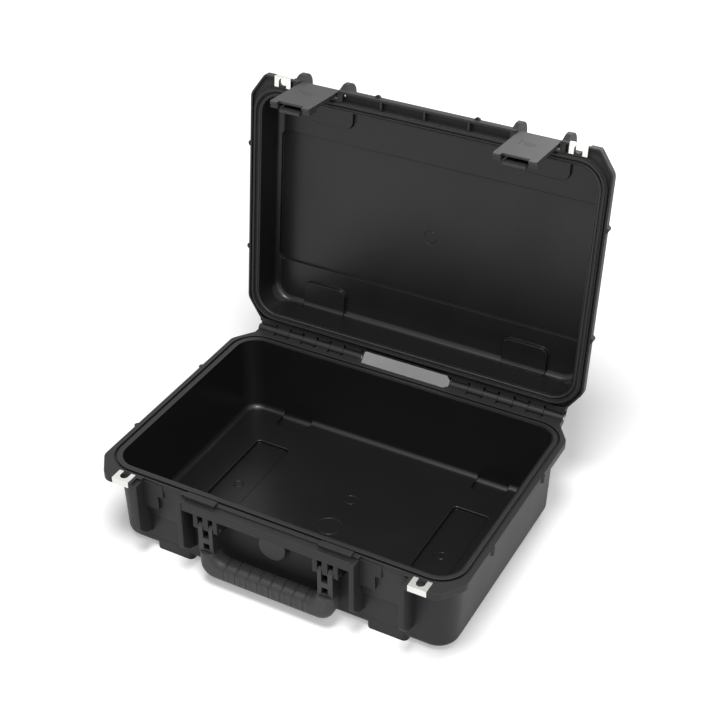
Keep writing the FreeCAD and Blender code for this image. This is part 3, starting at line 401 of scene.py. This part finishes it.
@dataclass(frozen=True)
class MouldedRubber:
    """Soft elastomer: a dull dark skin, pebbled where a hand holds it, with finger waves where it has any,
    darkened between them with painted shade.
    """

    name: str
    colour: str
    bloom_colour: str
    roughness: float
    pebble_mm: float
    pebble_depth_mm: float
    ior: float = 1.52
    sheen: float = 0.08
    patch_mm: float = 9.0
    patch_detail: float = 4.0
    wave_mm: float = 0.0
    wave_count: int = 0
    wave_margin: float = 0.25
    crease_mm: float = 2.2
    crease: float = 0.45

    def wave(self, tree: bpy.types.NodeTree, place: bpy.types.NodeSocket) -> bpy.types.NodeSocket:
        """Build the mask that falls to the crease's level between two finger waves, for painted shade and a
        sunk bump there.

        Args:
            tree: the material's node tree.
            place: the surface point in metres, with the waves along X.

        Returns:
            The output that carries the mask.
        """
        along = add_node(tree, "ShaderNodeSeparateXYZ", links={"Vector": place}).outputs["X"]
        half = self.wave_mm * MM / 2
        end = self.wave_mm * MM * (self.wave_count / 2 + self.wave_margin)
        moved = add_node(tree, "ShaderNodeMath", operation="ADD", values={1: half * self.wave_count},
                         links={0: along})
        away = add_node(tree, "ShaderNodeMath", operation="PINGPONG", values={1: half},
                        links={0: moved.outputs[0]})
        line = add_node(tree, "ShaderNodeMapRange", interpolation_type="SMOOTHSTEP",
                        links={"Value": away.outputs[0]},
                        values={"From Max": self.crease_mm * MM, "To Min": self.crease, "To Max": 1.0})
        wide = add_node(tree, "ShaderNodeMath", operation="ABSOLUTE", links={0: along})
        past = add_node(tree, "ShaderNodeMath", operation="GREATER_THAN", values={1: end},
                        links={0: wide.outputs[0]})
        return add_node(tree, "ShaderNodeMath", operation="MAXIMUM",
                        links={0: line.outputs["Result"], 1: past.outputs[0]}).outputs[0]

    def build(self) -> bpy.types.Material:
        """Make the material, with a pale bloom in patches over the pebbled skin.

        Returns:
            The material.
        """
        material, tree, shader = blank_material(self.name)
        shader.inputs["IOR"].default_value = self.ior
        shader.inputs["Sheen Weight"].default_value = self.sheen
        shader.inputs["Roughness"].default_value = self.roughness
        place = add_node(tree, "ShaderNodeTexCoord").outputs["Object"]
        patches = add_node(tree, "ShaderNodeTexNoise", links={"Vector": place},
                           values={"Scale": 1 / (self.patch_mm * MM), "Detail": self.patch_detail})
        bloom = add_node(tree, "ShaderNodeMix", data_type="RGBA", links={"Factor": patches.outputs["Fac"]},
                         values={COLOUR_A: linear(self.colour), COLOUR_B: linear(self.bloom_colour)})
        pebbles = add_node(tree, "ShaderNodeTexVoronoi", links={"Vector": place}, feature="SMOOTH_F1",
                           values={"Scale": 1 / (self.pebble_mm * MM)})
        bump = add_node(tree, "ShaderNodeBump", invert=True, values={"Distance": self.pebble_depth_mm * MM},
                        links={"Height": pebbles.outputs["Distance"]})
        colour = bloom.outputs[COLOUR_OUT]
        if self.wave_count:
            wave = self.wave(tree, place)
            # Painted shade: the colour is darkened along the creases between the finger waves.
            dim = add_node(tree, "ShaderNodeMix", data_type="RGBA", blend_type="MULTIPLY",
                           values={"Factor": 1.0}, links={COLOUR_A: colour, COLOUR_B: wave})
            colour = dim.outputs[COLOUR_OUT]
            swell = add_node(tree, "ShaderNodeBump", values={"Distance": self.crease_mm * MM},
                             links={"Height": wave})
            tree.links.new(swell.outputs["Normal"], bump.inputs["Normal"])
        tree.links.new(colour, shader.inputs["Base Color"])
        tree.links.new(bump.outputs["Normal"], shader.inputs["Normal"])
        return material


@dataclass(frozen=True)
class WovenMembrane:
    """Expanded film on a fine woven backing, which lets air through and keeps water out."""

    name: str
    colour: str
    shade: str
    roughness: float
    thread_mm: float
    thread_depth_mm: float

    def build(self) -> bpy.types.Material:
        """Make the material, with its weave drawn as crossed threads.

        Returns:
            The material.
        """
        material, tree, shader = blank_material(self.name)
        shader.inputs["Roughness"].default_value = self.roughness
        place = add_node(tree, "ShaderNodeTexCoord").outputs["Object"]
        threads = [
            add_node(tree, "ShaderNodeTexWave", links={"Vector": place}, bands_direction=way,
                     values={"Scale": 1 / (self.thread_mm * MM) / math.tau}).outputs["Fac"]
            for way in ("X", "Z")
        ]
        weave = add_node(tree, "ShaderNodeMath", operation="MAXIMUM", links=dict(enumerate(threads)))
        tint = add_node(tree, "ShaderNodeMix", data_type="RGBA", links={"Factor": weave.outputs[0]},
                        values={COLOUR_A: linear(self.shade), COLOUR_B: linear(self.colour)})
        bump = add_node(tree, "ShaderNodeBump", values={"Distance": self.thread_depth_mm * MM},
                        links={"Height": weave.outputs[0]})
        tree.links.new(tint.outputs[COLOUR_OUT], shader.inputs["Base Color"])
        tree.links.new(bump.outputs["Normal"], shader.inputs["Normal"])
        return material


# The base's inside opens upwards in the shut case, and the lid's shallower one downwards.
BASE_INSIDE = ShellInside(depth=106.0, rim_z=114.0, floor_z=2.0)
LID_INSIDE = ShellInside(depth=46.0, rim_z=115.2, floor_z=163.0)
# Glass-filled polypropylene, moulded in an eroded tool: charcoal, dull, with edges that catch light.
# The grain of this and the other plastics is drawn coarser than real, so that it shows.
SHELL = MouldedPlastic(
    "polypropylene, moulded matte", "#2C2C2D", "#505051",
    roughness=0.52, grain_mm=1.1, grain_depth_mm=0.10, edge_mm=1.0, shine=0.3,
)
# Nylon from a finer tool: a little paler and smoother than the shells.
LATCH = MouldedPlastic(
    "nylon, moulded satin", "#2F2F30", "#505051",
    roughness=0.48, grain_mm=0.9, grain_depth_mm=0.06, edge_mm=0.7,
)
# Nylon that hands have touched: a shade darker, with a painted edge highlight that is hardly paler.
HANDLE = MouldedPlastic(
    "nylon, moulded fine matte", "#272728", "#3A3A3B",
    roughness=0.50, grain_mm=0.9, grain_depth_mm=0.06, edge_mm=0.7,
)
# Acetal from a smooth tool: the darkest and glossiest of the plastics outside.
VALVE = MouldedPlastic(
    "acetal, moulded satin", "#232324", "#353536",
    roughness=0.42, grain_mm=0.8, grain_depth_mm=0.04, edge_mm=0.5,
)
# Stamped stainless sheet: near white, with faint rolling lines across the plates.
PLATE_STEEL = BrightSteel(
    "stainless steel, rolled and stamped", "#E4E3DF", roughness=0.24, line_mm=0.5, stretch=(0.08, 1.0, 1.0),
)
# Drawn stainless rod: lines along its length, drawn coarser than real so that they show.
PIN_STEEL = BrightSteel(
    "stainless steel, drawn rod", "#C9C8C4", roughness=0.28, line_mm=0.4, stretch=(0.05, 1.0, 1.0),
)
# Drawn spring wire: a little darker and duller, too thin for lines that run one way.
SPRING_STEEL = BrightSteel(
    "spring steel, drawn wire", "#B9B7B1", roughness=0.30, line_mm=0.4, stretch=(1.0, 1.0, 1.0),
)
# Over-moulded thermoplastic rubber: pebbled, dull, with a faint pale bloom and painted shade between its
# finger waves.
GRIP_RUBBER = MouldedRubber(
    "thermoplastic rubber, over-moulded pebble", "#202020", "#2A2A2B",
    roughness=0.58, pebble_mm=1.6, pebble_depth_mm=0.22, wave_mm=15.0, wave_count=7,
)
# Nitrile cord: near black, smooth and dull.
SEAL_RUBBER = MouldedRubber(
    "nitrile rubber, extruded cord", "#171717", "#1E1E1E",
    roughness=0.55, pebble_mm=0.8, pebble_depth_mm=0.03,
)
# White film on a weave: pale and dull, with threads drawn coarser than real so that they show.
MEMBRANE = WovenMembrane(
    "expanded film membrane, laminated on a weave", "#E6E6E2", "#C9C9C4",
    roughness=0.8, thread_mm=0.6, thread_depth_mm=0.05,
)


def begin() -> None:
    """Leave edit mode and deselect everything, so that an operator meets only what is added next."""
    if bpy.context.mode != "OBJECT":
        bpy.ops.object.mode_set(mode="OBJECT")
    bpy.ops.object.select_all(action="DESELECT")


def choose_points(piece: bpy.types.Object, wanted: Callable[[bpy.types.MeshVertex], bool]) -> None:
    """Select some points of a piece by their place, and leave it in edit mode.

    Args:
        piece: the piece, which is the active object.
        wanted: says of a point whether it is selected.
    """
    bpy.ops.object.mode_set(mode="EDIT")
    bpy.ops.mesh.select_mode(type="VERT")
    bpy.ops.mesh.select_all(action="DESELECT")
    bpy.ops.object.mode_set(mode="OBJECT")
    for point in piece.data.vertices:
        if wanted(point):
            point.select = True
    bpy.ops.object.mode_set(mode="EDIT")


def apply_modifier(piece: bpy.types.Object, kind: str, **settings: Any) -> None:
    """Add a modifier to the active piece and apply it.

    Args:
        piece: the piece, which is the active object.
        kind: the modifier's type.
        **settings: properties of the modifier.
    """
    modifier = piece.modifiers.new(kind.lower(), kind)
    for name, setting in settings.items():
        setattr(modifier, name, setting)
    bpy.ops.object.modifier_apply(modifier=modifier.name)


def settle(piece: bpy.types.Object, name: str, body: str, finish: bpy.types.Material) -> None:
    """Put a finished piece's place into its mesh, dress it and let it ride on its body.

    Args:
        piece: the piece, which is the active object, in object mode.
        name: the piece's name.
        body: the body that it rides on.
        finish: its material.
    """
    bpy.ops.object.transform_apply(location=True, rotation=True, scale=True)
    bpy.ops.object.mode_set(mode="EDIT")
    bpy.ops.mesh.select_all(action="SELECT")
    bpy.ops.mesh.remove_doubles(threshold=WELD)
    bpy.ops.mesh.normals_make_consistent(inside=False)
    bpy.ops.object.mode_set(mode="OBJECT")
    piece.name = piece.data.name = name
    piece.data.materials.clear()
    piece.data.materials.append(finish)
    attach(piece, body)
    LOG.info("%s rides on %s, %d faces", name, body, len(piece.data.polygons))


@dataclass
class LidSwing:
    """How the lid turned from shut to the open rest, read from the record's joint."""

    joint: dict[str, Any]

    def matrix(self) -> Matrix:
        """Give the move that takes the shut lid to its open rest.

        Returns:
            The move, in metres.
        """
        pivot = Vector(self.joint["pos_m"])
        turn = Matrix.Rotation(-math.radians(max(self.joint["range_deg"])), 4, "X")
        return Matrix.Translation(pivot) @ turn @ Matrix.Translation(-pivot)


@dataclass
class CarryGrip:
    """The soft sleeve over the handle's loop, skinned over the solid that it stands for."""

    node: str = "handle_grip"
    skin_mm: float = 0.8
    soften: float = 0.5
    soften_steps: int = 3

    def build(self, finish: bpy.types.Material) -> None:
        """Skin a copy of the sleeve evenly, then let its edges sink as rubber does.

        Args:
            finish: the grip's material.
        """
        begin()
        solid = bpy.data.objects[self.node]
        piece = bpy.data.objects.new("grip_sleeve", solid.data.copy())
        bpy.context.scene.collection.objects.link(piece)
        piece.select_set(True)
        bpy.context.view_layer.objects.active = piece
        bpy.ops.object.mode_set(mode="EDIT")
        bpy.ops.mesh.select_all(action="SELECT")
        bpy.ops.mesh.remove_doubles(threshold=WELD)
        bpy.ops.object.mode_set(mode="OBJECT")
        apply_modifier(piece, "REMESH", mode="VOXEL", voxel_size=self.skin_mm * MM)
        apply_modifier(piece, "SMOOTH", factor=self.soften, iterations=self.soften_steps)
        bpy.ops.object.shade_smooth()
        settle(piece, "grip_sleeve", "handle", finish)
        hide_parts(self.node)


@dataclass
class RimSeal:
    """The rubber cord in the lid's rim, which lies in the groove that its solid holds."""

    swing: LidSwing
    node: str = "lid_gasket"
    corner_mm: float = 31.0
    corner_segments: int = 10
    cord_mm: float = 3.4
    cord_resolution: int = 4

    def build(self, finish: bpy.types.Material) -> None:
        """Model the cord round the shut rim, then open it with the lid.

        Args:
            finish: the seal's material.
        """
        back = self.swing.matrix().inverted()
        corners = [back @ v.co for v in bpy.data.objects[self.node].data.vertices]
        low = Vector([min(c[i] for c in corners) for i in range(3)])
        high = Vector([max(c[i] for c in corners) for i in range(3)])
        width = min(high.z - low.z, self.cord_mm * MM)
        middle, size = (low + high) / 2, high - low
        begin()
        bpy.ops.mesh.primitive_plane_add(size=1.0, location=middle)
        piece = bpy.context.object
        piece.scale = (size.x - width, size.y - width, 1)
        bpy.ops.object.transform_apply(location=True, rotation=False, scale=True)
        bpy.ops.object.mode_set(mode="EDIT")
        bpy.ops.mesh.select_all(action="SELECT")
        bpy.ops.mesh.bevel(offset=self.corner_mm * MM, segments=self.corner_segments, affect="VERTICES")
        bpy.ops.mesh.delete(type="ONLY_FACE")
        bpy.ops.object.mode_set(mode="OBJECT")
        bpy.ops.object.convert(target="CURVE")
        piece.data.bevel_depth = width / 2
        piece.data.bevel_resolution = self.cord_resolution
        piece.data.use_fill_caps = False
        bpy.ops.object.convert(target="MESH")
        piece = bpy.context.object
        bpy.ops.object.shade_smooth()
        piece.matrix_world = self.swing.matrix() @ piece.matrix_world
        settle(piece, "rim_seal_cord", "lid", finish)
        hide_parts(self.node)


@dataclass
class ReleaseSpring:
    """A torsion spring of round wire round the lever's rod.

    The points at an end of the wire are found within end_across and end_along radii of the wire. While the
    latch is upright, the lever's rod lies pin_inset_mm behind the latch's rod and pin_drop_mm below it.
    """

    side: Side
    wire_mm: float = 0.3
    wire_sides: int = 12
    coil_mm: float = 2.2
    coil_steps: int = 24
    turns: int = 4
    leg_mm: float = 7.0
    end_across: float = 1.5
    end_along: float = 0.5
    smooth_deg: float = 60.0
    pin_inset_mm: float = 1.6
    pin_drop_mm: float = 29.0

    def latch_turn(self) -> float:
        """Find how far the latch has turned from upright, from its two rods.

        Returns:
            The angle about X, in radians.
        """
        hand = self.side.value
        upper, lower = (sum(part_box(rod + hand), Vector()) / 2 for rod in ("latch_pin_", "trigger_pin_"))
        way = lower - upper
        return math.atan2(way.z, way.y) - math.atan2(-self.pin_drop_mm, self.pin_inset_mm)

    def draw_leg(self, piece: bpy.types.Object, height: float, way: float) -> None:
        """Draw one end of the wire out straight.

        Args:
            piece: the coil, which is the active object and winds up Z from the X axis.
            height: where on Z the end is, in metres.
            way: one to follow the winding, minus one to go against it.
        """
        across, along = (share * self.wire_mm * MM for share in (self.end_across, self.end_along))
        choose_points(
            piece, lambda v: abs(v.co.z - height) < across and abs(v.co.y) < along and v.co.x > 0,
        )
        bpy.ops.mesh.extrude_region_move(TRANSFORM_OT_translate={"value": (0, way * self.leg_mm * MM, 0)})
        bpy.ops.mesh.edge_face_add()
        bpy.ops.object.mode_set(mode="OBJECT")

    def build(self, finish: bpy.types.Material) -> None:
        """Wind the spring with a screw and draw its two legs out.

        Args:
            finish: the spring's material.
        """
        hand = self.side.value
        node = "trigger_spring_" + hand
        low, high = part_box(node)
        axis = sum(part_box("trigger_pin_" + hand), Vector()) / 2
        length = high.x - low.x - 2 * self.wire_mm * MM
        begin()
        bpy.ops.mesh.primitive_circle_add(vertices=self.wire_sides, radius=self.wire_mm * MM,
                                          location=(0, 0, 0), rotation=(math.pi / 2, 0, 0))
        piece = bpy.context.object
        bpy.ops.object.transform_apply(location=True, rotation=True, scale=True)
        bpy.ops.object.mode_set(mode="EDIT")
        bpy.ops.mesh.select_all(action="SELECT")
        bpy.ops.transform.translate(value=(self.coil_mm * MM, 0, 0))
        bpy.ops.object.mode_set(mode="OBJECT")
        apply_modifier(piece, "SCREW", axis="Z", screw_offset=length / self.turns, iterations=self.turns,
                       steps=self.coil_steps, render_steps=self.coil_steps)
        self.draw_leg(piece, 0.0, -1)
        self.draw_leg(piece, length, 1)
        bpy.ops.object.shade_smooth_by_angle(angle=math.radians(self.smooth_deg))
        # The coil was wound up Z with its legs along Y. It lies along X, with its legs up and down the latch.
        lying = Matrix(((0, 0, 1), (-1, 0, 0), (0, -1, 0))).to_4x4()
        place = Matrix.Translation((low.x + self.wire_mm * MM, axis.y, axis.z))
        piece.matrix_world = place @ Matrix.Rotation(self.latch_turn(), 4, "X") @ lying
        settle(piece, "release_spring_" + hand, "latch_" + hand, finish)
        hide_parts(node)


@dataclass(frozen=True)
class Lamp:
    """One soft square lamp, sizes in metres and watts."""

    name: str
    place: Point
    size: float
    watts: float


LAMPS = (
    Lamp("key_front_right", (1.5, -1.55, 2.2), size=1.3, watts=15),
    Lamp("top", (0.25, -0.75, 2.6), size=0.8, watts=54),
    Lamp("rim_behind", (0.3, 1.6, 0.9), size=1.2, watts=13),
)


def lit_rays(tree: bpy.types.NodeTree) -> bpy.types.NodeSocket:
    """Tell the rays that look at a surface from those that only light it.

    Args:
        tree: the tree that takes the nodes.

    Returns:
        An output that is one for rays from the eye, also by way of a gloss or a clear piece.
    """
    rays = add_node(tree, "ShaderNodeLightPath")
    seen = add_node(tree, "ShaderNodeMath", operation="MAXIMUM",
                    links={0: rays.outputs["Is Camera Ray"], 1: rays.outputs["Is Glossy Ray"]})
    return add_node(tree, "ShaderNodeMath", operation="MAXIMUM",
                    links={0: seen.outputs[0], 1: rays.outputs["Is Transmission Ray"]}).outputs[0]


@dataclass
class Studio:
    """The white floor, the soft lamps and the camera of the photograph, sizes in metres.

    The floor's glow falls, as a painted shadow, to its lowest at a point behind the case under the open lid;
    it is floor_glow at the near end of shade_reach and far_glow at its far end.
    """

    eye: Point = (0.6854, -1.2229, 1.2014)
    azimuth_deg: float = 28.24
    elevation_deg: float = 34.52
    focal_px: float = 1486.6
    sensor_mm: float = 36.0
    floor_size: float = 14.0
    floor_colour: str = "#EDEDED"
    floor_roughness: float = 0.9
    # Painted shadow: the floor glows least at a point behind the case.
    painted_shadow_glow: float = 0.0
    floor_glow: float = 0.34
    far_glow: float = 1.0
    painted_shadow_centre: Point = (-0.05, 0.32, 0.0)
    shade_reach: tuple[float, float] = (0.42, 2.4)
    ambient: float = 0.05
    aim: Point = (0.0, 0.05, 0.15)
    lamps: tuple[Lamp, ...] = LAMPS

    def camera(self) -> None:
        """Place the camera where the photograph was taken from."""
        data = bpy.data.cameras.new("photo_camera")
        data.sensor_width = self.sensor_mm
        data.lens = self.focal_px / IMAGE_PX * self.sensor_mm
        camera = bpy.data.objects.new("photo_camera", data)
        camera.location = self.eye
        tilt, turn = math.radians(90 - self.elevation_deg), math.radians(self.azimuth_deg)
        camera.rotation_euler = Euler((tilt, 0, turn))
        bpy.context.scene.collection.objects.link(camera)
        bpy.context.scene.camera = camera

    def floor(self) -> None:
        """Lay a floor of white paper, which glows for the eye but still takes the case's shadow, with a
        painted shadow behind the case where its glow falls away.
        """
        begin()
        bpy.ops.mesh.primitive_plane_add(size=self.floor_size, location=(0, 0, 0))
        floor = bpy.context.object
        floor.name = "floor"
        material, tree, shader = blank_material("paper floor, white")
        shader.inputs["Base Color"].default_value = linear(self.floor_colour)
        shader.inputs["Roughness"].default_value = self.floor_roughness
        shader.inputs["Specular IOR Level"].default_value = 0.0
        shader.inputs["Emission Color"].default_value = WHITE
        place = add_node(tree, "ShaderNodeTexCoord").outputs["Object"]
        # Painted shadow: the glow falls away towards a point behind the case, under the open lid.
        away = add_node(tree, "ShaderNodeVectorMath", operation="DISTANCE", values={1: self.painted_shadow_centre},
                        links={0: place})
        near, far = self.shade_reach
        shade = add_node(tree, "ShaderNodeMapRange", interpolation_type="SMOOTHSTEP",
                         links={"Value": away.outputs["Value"]},
                         values={"From Max": near, "To Min": self.painted_shadow_glow, "To Max": self.floor_glow})
        sweep = add_node(tree, "ShaderNodeMapRange", links={"Value": away.outputs["Value"]},
                         values={"From Min": near, "From Max": far,
                                 "To Max": self.far_glow - self.floor_glow})
        level = add_node(tree, "ShaderNodeMath", operation="ADD",
                         links={0: shade.outputs["Result"], 1: sweep.outputs["Result"]})
        glow = add_node(tree, "ShaderNodeMath", operation="MULTIPLY",
                        links={0: lit_rays(tree), 1: level.outputs[0]})
        tree.links.new(glow.outputs[0], shader.inputs["Emission Strength"])
        floor.data.materials.append(material)

    def sky(self) -> None:
        """Fill the studio with even white light, seen by the eye as plain white."""
        world = bpy.data.worlds.new("studio")
        bpy.context.scene.world = world
        world.use_nodes = True
        tree = world.node_tree
        tree.nodes.clear()
        level = add_node(tree, "ShaderNodeMapRange", links={"Value": lit_rays(tree)},
                         values={"To Min": self.ambient, "To Max": 1.0})
        light = add_node(tree, "ShaderNodeBackground", links={"Strength": level.outputs["Result"]},
                         values={"Color": WHITE})
        add_node(tree, "ShaderNodeOutputWorld", links={"Surface": light.outputs["Background"]})

    def hang(self, lamp: Lamp) -> None:
        """Hang one soft square lamp, turned to the case.

        Args:
            lamp: the lamp.
        """
        data = bpy.data.lights.new(lamp.name, "AREA")
        data.shape = "SQUARE"
        data.size = lamp.size
        data.energy = lamp.watts
        piece = bpy.data.objects.new(lamp.name, data)
        piece.location = lamp.place
        way = Vector(self.aim) - Vector(lamp.place)
        piece.rotation_euler = way.to_track_quat("-Z", "Y").to_euler()
        bpy.context.scene.collection.objects.link(piece)

    def build(self) -> None:
        """Set the camera, the floor and the light."""
        bpy.context.scene.view_settings.view_transform = "Standard"
        self.camera()
        self.floor()
        self.sky()
        for lamp in self.lamps:
            self.hang(lamp)


@dataclass
class UtilityCase:
    """The whole case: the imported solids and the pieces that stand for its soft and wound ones."""

    frame: dict[str, Any]

    def dress(self, finish: bpy.types.Material, *nodes: str) -> None:
        """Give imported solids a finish.

        Args:
            finish: the material.
            *nodes: the solids' names.
        """
        for name in nodes:
            mesh = self.frame["nodes"][name].data
            mesh.materials.clear()
            mesh.materials.append(finish)
            LOG.info("%s takes %s", name, finish.name)

    def build(self) -> None:
        """Dress every solid and add the new pieces."""
        joint = next(j for j in self.frame["joints"] if j["name"] == "lid_hinge")
        swing = LidSwing(joint)
        self.dress(SHELL.build(BASE_INSIDE), "base_shell")
        self.dress(SHELL.build(LID_INSIDE, swing.matrix().inverted()), "lid_shell")
        latch, handle, valve = LATCH.build(), HANDLE.build(), VALVE.build()
        pin, plate, spring = PIN_STEEL.build(), PLATE_STEEL.build(), SPRING_STEEL.build()
        seal, grip = SEAL_RUBBER.build(), GRIP_RUBBER.build()
        self.dress(handle, "handle_frame")
        self.dress(grip, "handle_grip")
        self.dress(seal, "lid_gasket", "valve_seal")
        self.dress(valve, "valve_body", "valve_nut")
        self.dress(MEMBRANE.build(), "valve_membrane")
        for side in Side:
            hand = side.value
            self.dress(latch, f"latch_{hand}", f"trigger_{hand}")
            self.dress(pin, *(f"{held}_pin_{hand}" for held in ("hinge", "latch", "trigger", "handle")))
            self.dress(plate, f"padlock_plate_base_{hand}", f"padlock_plate_lid_{hand}")
            self.dress(spring, f"trigger_spring_{hand}")
            ReleaseSpring(side).build(spring)
        CarryGrip().build(grip)
        RimSeal(swing).build(seal)


def main() -> None:
    """Load the frame, and build the case and the studio."""
    logging.basicConfig(level=logging.INFO, format="%(name)s: %(message)s")
    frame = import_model()
    UtilityCase(frame).build()
    Studio().build()


if __name__ == "__main__":
    main()
